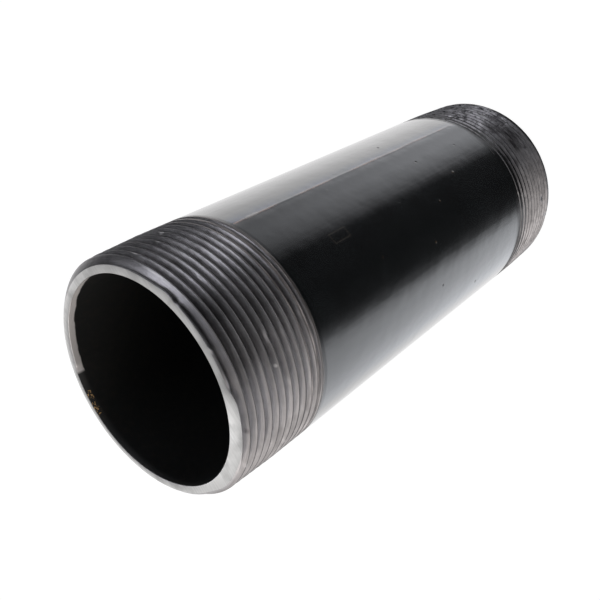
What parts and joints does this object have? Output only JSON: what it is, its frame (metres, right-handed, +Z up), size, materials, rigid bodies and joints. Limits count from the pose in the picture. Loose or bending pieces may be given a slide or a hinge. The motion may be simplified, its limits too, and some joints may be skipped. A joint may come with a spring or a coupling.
{
  "type": "pipe nipple",
  "caption": "Short straight steel pipe with a taper pipe thread on each end, black lacquered between the threads, open bore.",
  "frame": {"origin": "centre of the lower sawn end face, on the bore's axis", "axes": "+Z up the bore's axis to the other end; the part is round about Z, and the upper thread's crest leaves its face 31 degrees clockwise from -Y, seen from above"},
  "size_m": [0.0604, 0.0604, 0.1524],
  "materials": {
    "lacquered_steel": "glossy black lacquer; the cut threads and end faces are bare steel"
  },
  "bodies": {
    "root": {"nipple_body": "lacquered_steel"}
  },
  "joints": []
}
